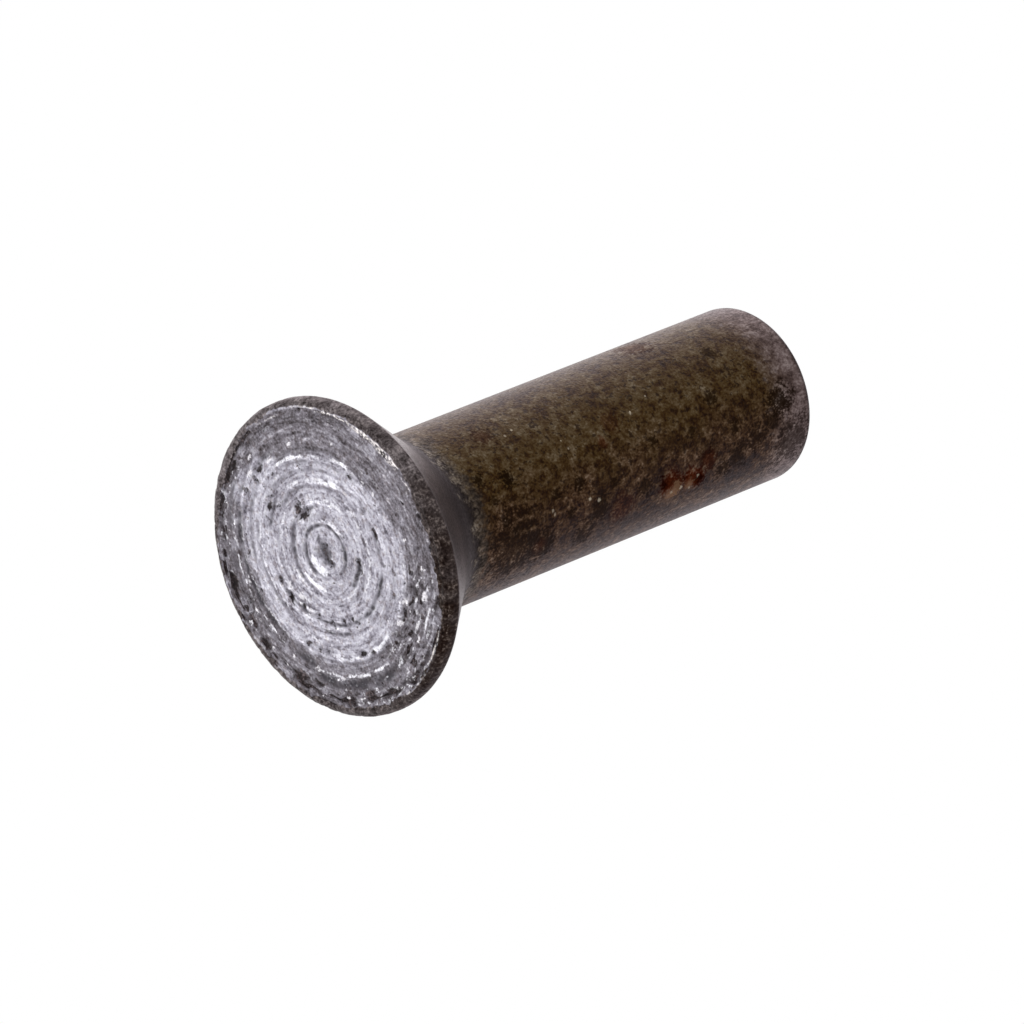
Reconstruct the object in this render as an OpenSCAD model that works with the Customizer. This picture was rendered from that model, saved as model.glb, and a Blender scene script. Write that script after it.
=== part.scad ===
// Countersunk rivet: a solid steel shank with a flat conical head, cold headed in one piece.
// It stands on the flat of its head. The axis is +Z, and the face of the head is at z = 0.

/* [Shank] */
// Diameter of the shank
shank_d = 6; // [4:0.1:8]
// Length over all, from the face of the head to the cut end
length = 20; // [12:0.5:40]
// Radius that blends the countersink into the shank
neck_r = 1.6; // [0.4:0.1:3]
// Width of the tumbled edge, across the cut end
end_round_w = 0.48; // [0.1:0.01:1]
// Height of the tumbled edge, along the shank
end_round_h = 0.24; // [0.1:0.01:1]

/* [Head] */
// Diameter over the rim
head_d = 10.65; // [9:0.05:14]
// Included angle of the countersink
countersink_angle = 77; // [60:1:90]
// Height at which the rim turns into the countersink
rim_h = 0.5; // [0.4:0.01:1.2]
// Radius that rolls the face over into the rim
face_edge_r = 0.3; // [0.05:0.01:0.35]
// Radius of the edge between the rim and the countersink
rim_edge_r = 0.12; // [0.02:0.01:0.2]

/* [Punch marks] */
// Distance from the axis of the head to the middle of the marks
punch_offset = 0.27; // [0:0.01:0.5]
// Radius of the innermost ring
first_ring_r = 0.89; // [0.6:0.01:2]
// Distance from one ring to the next
ring_pitch = 0.31; // [0.2:0.01:0.8]
// Width of a ring at the face
ring_w = 0.16; // [0.05:0.01:0.2]
// Depth of a ring
ring_depth = 0.05; // [0.01:0.01:0.15]
// Radius of the dimple inside the rings
dimple_r = 0.34; // [0.1:0.01:0.5]
// Depth of the dimple
dimple_depth = 0.07; // [0.02:0.01:0.2]

/* [Hidden] */
$fn = 128;
// Cuts start this far below the face
overcut = 0.1;
shank_r = shank_d / 2;
head_r = head_d / 2;
flat_r = head_r - face_edge_r;
cone_angle = countersink_angle / 2;
// Height at which the countersink would meet the shank with no blend
neck_z = rim_h + (head_r - shank_r) / tan(cone_angle);
neck_reach = neck_r * tan(cone_angle / 2);
rim_reach = rim_edge_r * tan(cone_angle / 2);
end_steps = 8;
ring_room = flat_r - punch_offset - ring_w / 2 - first_ring_r;
ring_count = floor(ring_room / ring_pitch) + 1;

// A point on the slope of the countersink, at a distance up it from a point on its line
function up_slope(from, distance) = from + distance * [-sin(cone_angle), cos(cone_angle)];

// Half section of the blank: radius across, height up
module half_section() {
    rim_corner = [head_r, rim_h];
    neck_corner = [shank_r, neck_z];
    tumbled_edge = [for (step = [0:end_steps])
        let (a = 90 * step / end_steps)
        [shank_r - end_round_w * (1 - cos(a)), length - end_round_h * (1 - sin(a))]];
    difference() {
        union() {
            polygon(concat(
                [[0, 0], [flat_r, 0], [head_r, face_edge_r]],
                [rim_corner - [0, rim_reach], up_slope(rim_corner, rim_reach)],
                [up_slope(neck_corner, -neck_reach), neck_corner + [0, neck_reach]],
                tumbled_edge,
                [[0, length]]
            ));
            translate([flat_r, face_edge_r]) circle(r = face_edge_r);
            translate(rim_corner - [rim_edge_r, rim_reach]) circle(r = rim_edge_r);
        }
        translate(neck_corner + [neck_r, neck_reach]) circle(r = neck_r);
    }
}

// One ring that the turned face of the heading punch pressed into the head
module ring_mark(ring_r) {
    slope = ring_w / 2 / ring_depth;
    rotate_extrude()
        polygon([
            [ring_r, ring_depth],
            [ring_r + ring_w / 2 + slope * overcut, -overcut],
            [ring_r - ring_w / 2 - slope * overcut, -overcut]
        ]);
}

// The dimple in the middle of the rings
module dimple() {
    mouth_r = dimple_r * (dimple_depth + overcut) / dimple_depth;
    translate([0, 0, -overcut]) cylinder(h = dimple_depth + overcut, r1 = mouth_r, r2 = 0);
}

module rivet() {
    color("#5a564c")
    difference() {
        rotate_extrude() half_section();
        translate([-punch_offset, 0, 0]) {
            dimple();
            for (ring = [0:ring_count - 1]) ring_mark(first_ring_r + ring * ring_pitch);
        }
    }
}

rivet();
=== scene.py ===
# %% [markdown]
# # A countersunk rivet
#
# A solid rivet is cold headed: a length of steel wire is held in a die, and a punch squeezes its
# end into a flat conical head. Everything that gives this one its look comes from that: rings on
# the face from the turned punch, a cone polished by the die, and dark scale left on the shank.
# The CAD model gives the exact form. This lesson adds what the tools and the years left on it.

# %% Load the CAD frame
import math

import bpy
import numpy as np
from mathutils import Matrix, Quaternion, Vector, noise


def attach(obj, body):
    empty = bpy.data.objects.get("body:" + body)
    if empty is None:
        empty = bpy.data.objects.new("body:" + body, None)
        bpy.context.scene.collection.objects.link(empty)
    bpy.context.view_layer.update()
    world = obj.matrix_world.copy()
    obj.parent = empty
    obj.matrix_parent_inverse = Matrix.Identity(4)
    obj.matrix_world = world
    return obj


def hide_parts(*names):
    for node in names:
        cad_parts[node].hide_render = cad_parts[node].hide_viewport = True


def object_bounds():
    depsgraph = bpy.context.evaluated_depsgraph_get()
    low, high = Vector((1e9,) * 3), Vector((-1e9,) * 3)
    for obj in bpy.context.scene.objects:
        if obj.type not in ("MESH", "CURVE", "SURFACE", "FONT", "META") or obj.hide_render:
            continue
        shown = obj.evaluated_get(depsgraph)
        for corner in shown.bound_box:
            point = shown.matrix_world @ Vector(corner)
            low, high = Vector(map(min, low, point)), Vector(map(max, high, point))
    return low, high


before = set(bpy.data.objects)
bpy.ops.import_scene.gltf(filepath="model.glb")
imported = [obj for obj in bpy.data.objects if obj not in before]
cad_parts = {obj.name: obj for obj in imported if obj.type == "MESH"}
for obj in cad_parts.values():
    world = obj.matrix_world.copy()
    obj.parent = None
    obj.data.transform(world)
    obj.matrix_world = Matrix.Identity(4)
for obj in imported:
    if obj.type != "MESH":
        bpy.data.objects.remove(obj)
cad_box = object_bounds()
MM = 0.001
print("CAD box in mm:", [round(side / MM, 2) for side in cad_box[1] - cad_box[0]])

# %% [markdown]
# ## The sizes
#
# The rivet stands on its head at the origin, with its axis along +Z. The sizes below are in
# millimetres, as a drawing would give them, and the head and the length are read from the CAD node.

# %% Sizes of the rivet, in millimetres
HEAD_R = (cad_box[1].x - cad_box[0].x) / 2 / MM
LENGTH = (cad_box[1].z - cad_box[0].z) / MM
SHANK_R = 3.0
HALF_CONE = math.radians(77 / 2)
RIM_HEIGHT = 0.5
FACE_EDGE_R = 0.3
RIM_EDGE_R = 0.12
NECK_R = 1.6
END_ROUND_WIDTH = 0.48
END_ROUND_HEIGHT = 0.24
FLAT_R = HEAD_R - FACE_EDGE_R
NECK_HEIGHT = RIM_HEIGHT + (HEAD_R - SHANK_R) / math.tan(HALF_CONE)
NECK_REACH = NECK_R * math.tan(HALF_CONE / 2)
RIM_REACH = RIM_EDGE_R * math.tan(HALF_CONE / 2)
print(f"flat radius {FLAT_R:.3f} mm, neck at {NECK_HEIGHT:.3f} mm")

# %% [markdown]
# ## The camera
#
# A long lens from about 30 cm away, so that the rivet hardly narrows with distance. It looks up at
# the face of the head from below, and is rolled so that the rivet lies across the frame.

# %% Camera
LENS_MM = 342.15
CAMERA_DISTANCE = 316.72 * MM
CAMERA_ELEVATION = math.radians(-42.43)
CAMERA_ROLL = math.radians(68.11)
CAMERA_AIM = Vector((0.77, 0, 8.17)) * MM

towards_camera = Vector((0, -math.cos(CAMERA_ELEVATION), math.sin(CAMERA_ELEVATION)))
camera_data = bpy.data.cameras.new("camera")
camera_data.lens = LENS_MM
camera_data.clip_start = 0.01
camera_data.clip_end = 10
camera = bpy.data.objects.new("camera", camera_data)
camera.location = CAMERA_AIM + towards_camera * CAMERA_DISTANCE
camera.rotation_mode = "QUATERNION"
upright = (-towards_camera).to_track_quat("-Z", "Y")
camera.rotation_quaternion = upright @ Quaternion((0, 0, 1), CAMERA_ROLL)
bpy.context.scene.collection.objects.link(camera)
bpy.context.scene.camera = camera
print("camera at", [round(c / MM, 1) for c in camera.location], "mm")

# %% [markdown]
# ## The blank: a disc for the face
#
# The face needs the finest mesh, because all its marks are real relief. A hexagon that is
# subdivided gives triangles of one size from the middle to the edge, where a fan of spokes would
# crowd the middle. It is then rounded out into a disc, ring by ring.

# %% A hexagon, divided into 128 rings of triangles


def start_piece(name):
    """Names the new primitive."""
    piece = bpy.context.object
    piece.name = name
    piece.data.name = name
    return piece


def edit(piece):
    """Opens a piece in edit mode, ready to select by vertex."""
    bpy.context.view_layer.objects.active = piece
    bpy.ops.object.mode_set(mode="EDIT")
    bpy.ops.mesh.select_mode(type="VERT")


COARSE_CUTS = 7
FINE_CUTS = 15
FACE_RINGS = (COARSE_CUTS + 1) * (FINE_CUTS + 1)

bpy.ops.object.select_all(action="DESELECT")
bpy.ops.mesh.primitive_circle_add(vertices=6, radius=FLAT_R * MM, fill_type="TRIFAN")
rivet = start_piece("rivet_steel")
edit(rivet)
bpy.ops.mesh.select_all(action="SELECT")
bpy.ops.mesh.subdivide(number_cuts=COARSE_CUTS)
bpy.ops.mesh.subdivide(number_cuts=FINE_CUTS)
bpy.ops.object.mode_set(mode="OBJECT")
print("face triangles:", len(rivet.data.polygons), "in", FACE_RINGS, "rings")

# %% The hexagon rounded out into a disc


def points_of(piece):
    """The piece's points as an array, in millimetres."""
    flat = np.empty(len(piece.data.vertices) * 3, np.float32)
    piece.data.vertices.foreach_get("co", flat)
    return flat.reshape(-1, 3).astype(float) / MM


def place_points(piece, points):
    """Moves the piece's points to an array of places in millimetres."""
    piece.data.vertices.foreach_set("co", (points * MM).astype(np.float32).ravel())
    piece.data.update()


SIXTH = math.radians(60)
FIRST_CORNER = math.radians(30)

points = points_of(rivet)
angle = np.arctan2(points[:, 1], points[:, 0]) - FIRST_CORNER
side = np.floor(angle / SIXTH)
from_middle = angle - (side + 0.5) * SIXTH
ring_radius = np.hypot(points[:, 0], points[:, 1]) * np.cos(from_middle) / math.cos(SIXTH / 2)
along_side = 0.5 + np.tan(from_middle) / (2 * math.tan(SIXTH / 2))
angle = FIRST_CORNER + (side + along_side) * SIXTH
place_points(
    rivet, np.stack([ring_radius * np.cos(angle), ring_radius * np.sin(angle), 0 * angle], 1)
)
print("disc radius:", round(float(ring_radius.max()), 3), "mm")

# %% [markdown]
# ## The body: one loop, drawn up step by step
#
# The body is round, so its edge loop is extruded up the section and resized at each step, as a
# potter would pull up a wall. The section is a list of radius and height, with the arcs of the CAD.

# %% The half section above the face


def arc(centre_r, centre_z, width, height, start, end, steps):
    """Points on an arc but its first, at angles in degrees from straight outwards to upwards."""
    turns = [math.radians(start + (end - start) * step / steps) for step in range(1, steps + 1)]
    return [(centre_r + width * math.cos(a), centre_z + height * math.sin(a)) for a in turns]


def straight(start, end, steps):
    """Points evenly along a line, but its first."""
    shares = [step / steps for step in range(1, steps + 1)]
    return [tuple(a + (b - a) * share for a, b in zip(start, end)) for share in shares]


# The end is flat up to this radius, and its last triangles meet in the middle
CLOSING_R = 0.3

half_cone_degrees = math.degrees(HALF_CONE)
rim_edge = (HEAD_R - RIM_EDGE_R, RIM_HEIGHT - RIM_REACH)
neck = (SHANK_R + NECK_R, NECK_HEIGHT + NECK_REACH)
shank_top = (SHANK_R, LENGTH - END_ROUND_HEIGHT)
end_flat_r = SHANK_R - END_ROUND_WIDTH

# The last number of each arc and line is how many steps it is drawn in
section = arc(FLAT_R, FACE_EDGE_R, FACE_EDGE_R, FACE_EDGE_R, -90, 0, 8)
section += [(HEAD_R, rim_edge[1])]
section += arc(*rim_edge, RIM_EDGE_R, RIM_EDGE_R, 0, half_cone_degrees, 3)
neck_start = (neck[0] - NECK_R * math.cos(HALF_CONE), neck[1] - NECK_R * math.sin(HALF_CONE))
section += straight(section[-1], neck_start, 7)
section += arc(*neck, NECK_R, NECK_R, 180 + half_cone_degrees, 180, 7)
section += straight(section[-1], shank_top, 22)
section += arc(end_flat_r, shank_top[1], END_ROUND_WIDTH, END_ROUND_HEIGHT, 0, 90, 8)
section += straight(section[-1], (CLOSING_R, LENGTH), 4)
print("steps in the section:", len(section))

# %% The loop pulled up the section
edit(rivet)
bpy.ops.mesh.select_all(action="DESELECT")
bpy.ops.mesh.select_non_manifold()
radius, height = FLAT_R, 0.0
for next_radius, next_height in section:
    bpy.ops.mesh.extrude_region_move(
        TRANSFORM_OT_translate={"value": (0, 0, (next_height - height) * MM)}
    )
    ratio = next_radius / radius
    bpy.ops.transform.resize(value=(ratio, ratio, 1), center_override=(0, 0, next_height * MM))
    radius, height = next_radius, next_height
bpy.ops.mesh.merge(type="CENTER")
bpy.ops.mesh.select_all(action="SELECT")
bpy.ops.mesh.normals_make_consistent(inside=False)
bpy.ops.object.mode_set(mode="OBJECT")
# Rounding adds up over the steps, so the end is brought back to the length of the CAD
points = points_of(rivet)
points[:, 2] = np.minimum(points[:, 2], LENGTH)
place_points(rivet, points)
rivet.data.calc_loop_triangles()
print("triangles:", len(rivet.data.loop_triangles))

# %% [markdown]
# ## The marks on the face
#
# A turned punch has fine ridges, and each one leaves a ring in the face. The press was worn and the
# steel uneven, so the rings are deep in places and gone in others. Marks like these can't be drawn
# with an operator, so each point gets a depth worked out here, and a Displace modifier sinks it in.
# The same numbers are kept as attributes, so that the finish can paint a recess darker and a crest
# brighter: oxide and worn metal, with painted shade and painted glints on them.

# %% Where each point lies, from the axis of the rivet and from the middle of the punch
PUNCH_OFFSET = 0.27
# A point below this height is on the face
FACE_TOP = 1e-4

points = points_of(rivet)
from_axis = np.hypot(points[:, 0], points[:, 1])
height = points[:, 2]
on_face = height < FACE_TOP
punch_r = np.hypot(points[:, 0] + PUNCH_OFFSET, points[:, 1])
punch_angle = np.degrees(np.arctan2(points[:, 1], points[:, 0] + PUNCH_OFFSET)) % 360
head_angle = np.degrees(np.arctan2(points[:, 1], points[:, 0])) % 360
flat = np.column_stack([points[:, :2], np.zeros(len(points))])
# The same places unrolled round the punch, for noise that is drawn out along the rings
punch_turn = np.radians(punch_angle)
turns = np.column_stack([np.cos(punch_turn), np.sin(punch_turn), punch_r])
print("points on the face:", int(on_face.sum()))

# %% Noise, ramps and arcs


def roughness_at(places, grain, seed):
    """Smooth noise of about -1 to 1 at places in mm, with lumps about one grain across."""
    shift = Vector((seed * 17.3, seed * 5.7, seed * 11.9))
    return np.array([noise.noise(Vector(place) / grain + shift) for place in places]) * 1.6


def ramp(values, low, high):
    """0 below low, 1 above high and a smooth rise between."""
    t = np.clip((values - low) / (high - low), 0, 1)
    return t * t * (3 - 2 * t)


def along_arc(angles, first, last, fade=7):
    """1 within an arc, fading out over its last few degrees. The arc may run past 360."""
    middle, half = (first + last) / 2, (last - first) / 2
    away = np.abs((angles - middle + 180) % 360 - 180)
    return 1 - ramp(away, half - fade, half + fade)


sample = roughness_at(flat[::200], 0.5, 1)
print("noise runs from", round(float(sample.min()), 2), "to", round(float(sample.max()), 2))

# %% The rings that stand out
# Radius from the middle of the punch, first and last angle, strength and width
PRESSED_RINGS = [
    (0.89, 95, 345, 1.0, 0.15),
    (0.89, 345, 450, 0.45, 0.13),
    (0.93, 55, 125, 0.85, 0.24),
    (1.20, 160, 260, 0.3, 0.16),
    (1.48, 68, 148, 1.0, 0.22),
    (1.50, 40, 70, 0.6, 0.16),
    (1.49, 150, 200, 0.7, 0.15),
    (1.47, 292, 338, 1.0, 0.22),
    (1.80, 85, 200, 0.2, 0.18),
    (1.80, -50, 10, 0.45, 0.16),
    (2.13, 80, 130, 0.4, 0.16),
    (2.20, 150, 222, 0.65, 0.16),
    (2.12, 262, 300, 0.25, 0.14),
    (2.47, 42, 78, 0.9, 0.18),
    (2.42, -12, 42, 0.9, 0.16),
    (2.48, -58, -8, 1.0, 0.17),
    (2.42, 255, 290, 0.65, 0.18),
    (2.50, 124, 150, 0.8, 0.18),
    (2.72, 5, 34, 0.8, 0.14),
    (2.75, 150, 215, 0.5, 0.2),
    (2.80, 225, 300, 0.3, 0.16),
    (3.06, 55, 130, 0.5, 0.18),
    (3.02, 170, 225, 0.5, 0.18),
    (3.06, 300, 345, 0.35, 0.18),
    (3.37, 100, 150, 0.6, 0.2),
    (3.37, -20, 60, 0.35, 0.18),
    (3.42, 170, 230, 0.5, 0.2),
    (3.68, -12, 38, 0.5, 0.16),
    (3.70, 150, 170, 0.8, 0.24),
    (3.88, 62, 128, 1.0, 0.2),
    (4.32, 60, 132, 0.5, 0.3),
    (3.95, 128, 150, 0.6, 0.2),
    (3.90, 300, 340, 0.5, 0.2),
    (4.3, 100, 140, 0.6, 0.22),
    (4.46, -22, 38, 0.9, 0.5),
    (4.08, 34, 52, 0.8, 0.4),
    (4.30, 285, 330, 0.4, 0.2),
    (4.62, 100, 150, 0.6, 0.2),
    (4.78, 200, 252, 0.6, 0.16),
]
print("pressed rings:", len(PRESSED_RINGS))

# %% The crests between them, worn and painted bright as glints
# Radius from the middle of the punch, first and last angle, strength and width
WORN_AND_GLINTING_CRESTS = [
    (0.68, 20, 98, 1.0, 0.24),
    (1.05, 195, 262, 0.6, 0.16),
    (1.06, 20, 80, 0.4, 0.12),
    (1.33, 28, 74, 1.0, 0.17),
    (1.34, 150, 200, 0.4, 0.12),
    (1.70, 185, 240, 0.6, 0.24),
    (1.66, 20, 85, 0.5, 0.2),
    (1.68, 290, 360, 0.4, 0.18),
    (1.97, 90, 170, 0.5, 0.2),
    (1.98, 225, 330, 0.5, 0.2),
    (2.05, 20, 60, 0.5, 0.18),
    (2.27, 44, 66, 1.0, 0.18),
    (2.30, 66, 90, 0.5, 0.14),
    (2.40, 192, 226, 1.0, 0.22),
    (2.38, 165, 192, 0.5, 0.18),
    (2.62, 196, 225, 0.5, 0.14),
    (2.62, 10, 60, 0.4, 0.16),
    (2.60, 255, 290, 0.4, 0.14),
    (2.92, 60, 130, 0.55, 0.14),
    (3.20, 165, 218, 0.7, 0.16),
    (3.18, 15, 48, 0.6, 0.14),
    (3.33, 218, 236, 0.9, 0.13),
    (3.50, -25, 35, 0.7, 0.2),
    (3.94, -26, -12, 0.8, 0.12),
    (4.14, -12, 20, 0.95, 0.12),
    (4.2, 18, 34, 0.8, 0.12),
    (4.12, 56, 132, 0.65, 0.15),
    (4.5, 100, 134, 0.4, 0.12),
    (3.78, 60, 120, 0.5, 0.12),
]
print("worn_and_glinting crests:", len(WORN_AND_GLINTING_CRESTS))

# %% Rings and crests, wandering and broken


def rings_at(rings, radius, angles):
    """The strongest of the rings at each point, with a soft profile across each one."""
    strongest = np.zeros(len(radius))
    for ring_r, first, last, strength, width in rings:
        off = np.clip(np.abs(radius - ring_r) / (width * 0.85), 0, 1)
        profile = 0.5 + 0.5 * np.cos(math.pi * off)
        strongest = np.maximum(strongest, strength * profile * along_arc(angles, first, last))
    return strongest


FIRST_RING_R, RING_PITCH = 0.89, 0.31

wander = 0.06 * roughness_at(turns * (1, 1, 0.5), 0.9, 1) + 0.03 * roughness_at(flat, 0.4, 2)
wander += 0.012 * roughness_at(flat, 0.15, 21)
wander *= 0.45 + 0.55 * ramp(punch_r, 0.8, 2.0)
ring_place = punch_r + wander
broken = ramp(roughness_at(flat, 0.35, 3), -0.8, 0.3) * ramp(roughness_at(flat, 0.13, 4), -1.0, 0.2)
patchy = ramp(roughness_at(flat, 0.3, 5), -0.8, 0.4)
patchy *= 0.4 + 0.6 * ramp(roughness_at(flat, 0.1, 18), -0.8, 0.4)
# Near the middle the crests are hardly broken
patchy = np.maximum(patchy, 0.8 * (1 - ramp(punch_r, 1.4, 1.8)))

# Shallow ripples of the same pitch all over, under the rings that stand out
ripple = 0.5 + 0.5 * np.cos(2 * math.pi * (ring_place - FIRST_RING_R) / RING_PITCH)
worn = ramp(roughness_at(turns * (1.2, 1.2, 2.2), 0.8, 19), -0.7, 0.7)
ripple = ripple**1.5 * (0.35 * worn) * (0.4 + 0.6 * broken) * ramp(punch_r, 0.5, 0.8)
# They are fainter half way out, and most of all on one side
ripple *= 1 - 0.5 * ramp(punch_r, 1.3, 1.6) * (1 - ramp(punch_r, 2.4, 2.7))
quiet_side = along_arc(punch_angle, 270, 400)
ripple *= 1 - 0.7 * quiet_side * ramp(punch_r, 1.5, 1.7) * (1 - ramp(punch_r, 2.2, 2.4))
groove = rings_at(PRESSED_RINGS, ring_place, punch_angle) * (0.55 + 0.5 * broken)
groove = np.maximum(groove, ripple)
# On the other side the outer crests are torn into rows of beads
beaded = ramp(roughness_at(flat, 0.11, 25), -0.5, 0.35)
beads = ramp(punch_r, 3.7, 4.0) * along_arc(punch_angle, 45, 140)
crest = rings_at(WORN_AND_GLINTING_CRESTS, ring_place, punch_angle) * (0.25 + 0.75 * patchy)
crest *= 1 - beads * (1 - beaded)
print("points in a ring:", int((groove > 0.3).sum()), "on a crest:", int((crest > 0.3).sum()))

# %% Pits and nicks
# Place across the face, length, width, the direction of the length in degrees, and depth
PITS = [
    (-1.63, 0.30, 0.6, 0.34, 70, 1.0),
    (-1.88, 0.48, 0.6, 0.45, 40, 0.85),
    (-1.95, 0.1, 0.4, 0.2, 80, 0.5),
    (-2.2, 0.40, 0.3, 0.14, 90, 0.5),
    (-1.02, -2.4, 0.34, 0.24, 20, 0.8),
    (-0.25, -2.52, 0.42, 0.18, 0, 1.0),
    (0.78, -2.3, 0.36, 0.18, 0, 0.7),
    (0.47, -1.26, 0.3, 0.18, 0, 0.7),
    (0.75, -1.24, 0.26, 0.18, 0, 0.7),
    (-0.2, 0.05, 0.5, 0.3, 10, 0.5),
    (0.16, -0.06, 0.3, 0.2, 60, 0.8),
    (-0.3, 0.24, 0.3, 0.12, 0, 0.6),
    (-0.42, -0.12, 0.26, 0.12, 60, 0.5),
    (-2.58, 1.4, 0.6, 0.13, 92, 0.7),
    (-2.2, 1.33, 0.34, 0.1, 90, 0.6),
    (-2.26, 1.75, 0.42, 0.2, 50, 0.75),
    (-1.95, 2.0, 0.22, 0.16, 0, 0.8),
    (-1.4, 2.35, 0.2, 0.12, 0, 0.6),
    (-3.55, 1.6, 0.6, 0.3, 100, 0.65),
    (-3.28, 1.85, 0.26, 0.2, 0, 0.8),
    (-3.05, 2.5, 0.5, 0.3, 50, 0.7),
    (-3.82, 2.62, 0.34, 0.24, 50, 0.75),
    (-2.6, 2.85, 0.3, 0.2, 40, 0.6),
    (-3.2, 0.9, 0.4, 0.14, 95, 0.5),
    (-3.15, -0.3, 0.4, 0.12, 85, 0.5),
    (-3.0, -0.9, 0.3, 0.12, 75, 0.5),
    (-1.2, 3.45, 0.28, 0.2, 0, 0.7),
    (-0.3, 3.55, 0.5, 0.16, 0, 0.5),
    (0.1, 3.6, 0.26, 0.16, 0, 0.8),
    (-0.02, 2.52, 0.4, 0.2, 15, 1.0),
    (0.62, 2.34, 0.42, 0.18, 15, 1.0),
    (1.1, 1.95, 0.36, 0.2, 35, 0.9),
    (1.55, 1.45, 0.28, 0.2, 50, 0.8),
    (0.8, 2.75, 0.22, 0.18, 0, 0.7),
    (2.25, 2.4, 0.4, 0.26, 60, 0.75),
    (2.6, 2.0, 0.3, 0.2, 60, 0.6),
    (2.75, 1.7, 0.26, 0.2, 60, 0.8),
    (1.93, 0.95, 0.24, 0.18, 0, 0.8),
    (2.02, 0.42, 0.26, 0.2, 0, 0.9),
    (2.05, 0.02, 0.24, 0.2, 0, 0.85),
    (2.25, -0.2, 0.26, 0.16, 90, 0.7),
    (1.85, -2.25, 0.36, 0.2, 20, 0.7),
    (1.1, -2.65, 0.3, 0.18, 0, 0.6),
    (3.22, 0.12, 0.4, 0.24, 90, 0.95),
    (3.3, -0.3, 0.34, 0.2, 90, 1.0),
    (2.45, -2.45, 0.4, 0.24, 30, 0.8),
    (3.1, -1.75, 0.5, 0.24, 120, 0.7),
    (2.85, -3.15, 0.3, 0.22, 0, 0.7),
    (3.2, -2.3, 0.46, 0.24, 120, 0.7),
    (2.0, -3.3, 0.36, 0.2, 20, 0.6),
    (3.6, -0.95, 0.6, 0.28, 105, 0.55),
    (-0.55, -3.78, 0.26, 0.2, 0, 0.5),
    (-2.2, -2.4, 0.26, 0.2, 0, 0.55),
    (4.4, 1.9, 0.5, 0.16, 110, 0.9),
    (4.45, 0.5, 0.6, 0.2, 92, 1.0),
    (4.6, -0.4, 0.4, 0.16, 88, 0.9),
    (4.55, -1.15, 0.5, 0.16, 75, 0.9),
    (4.2, -2.3, 0.4, 0.2, 60, 0.8),
    (3.6, 2.65, 0.5, 0.2, 128, 0.9),
    (2.95, 3.55, 0.4, 0.24, 140, 0.9),
    (3.3, 3.3, 0.3, 0.2, 140, 0.7),
    (2.2, 4.2, 0.4, 0.2, 152, 0.9),
    (1.6, 4.4, 0.36, 0.2, 160, 0.8),
    (1.0, 4.55, 0.5, 0.22, 168, 0.9),
    (0.5, 4.62, 0.3, 0.24, 0, 1.0),
    (-0.65, 4.66, 0.4, 0.2, 0, 1.0),
    (-0.1, 4.78, 0.5, 0.18, 0, 0.9),
    (-1.5, 4.6, 0.4, 0.2, 15, 0.8),
    (-2.0, 4.35, 0.3, 0.2, 25, 0.7),
    (-2.6, 4.1, 0.4, 0.16, 35, 0.7),
    (-3.1, 3.8, 0.36, 0.16, 40, 0.8),
    (-0.18, -4.75, 0.3, 0.24, 0, 0.9),
    (0.9, -4.65, 0.3, 0.2, 10, 0.8),
    (-4.85, -1.35, 0.26, 0.2, 0, 0.8),
    (4.5, -1.75, 1.1, 0.3, 70, 0.8),
    (4.05, -2.65, 0.9, 0.28, 56, 0.75),
    (4.72, -0.7, 0.8, 0.2, 82, 0.8),
    (4.42, 1.6, 0.8, 0.55, 110, 0.9),
    (3.15, 3.4, 0.8, 0.5, 137, 1.0),
    (1.75, 4.35, 0.7, 0.5, 158, 0.9),
    (-0.45, 4.72, 0.85, 0.45, 5, 1.0),
    (-2.95, 3.9, 1.1, 0.34, 37, 1.0),
    (-3.75, 3.05, 1.2, 0.32, 50, 1.0),
    (4.62, 0.55, 0.8, 0.4, 95, 0.9),
    (0.8, 4.6, 0.5, 0.42, 0, 0.9),
]
print("pits:", len(PITS))

# %% The dimple, the crack and the flakes
# The dimple left by the middle of the punch, written as a pit is
DIMPLE = (-0.27, 0.03, 1.0, 0.72, 10, 0.9)
# The crack at the edge, from point to point across the face
CRACK = [
    (-3.55, 3.35),
    (-3.8, 3.05),
    (-4.05, 2.85),
    (-4.28, 2.5),
    (-4.45, 2.1),
    (-4.62, 1.75),
    (-4.75, 1.3),
]
CRACK_WIDTH = 0.13
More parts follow.
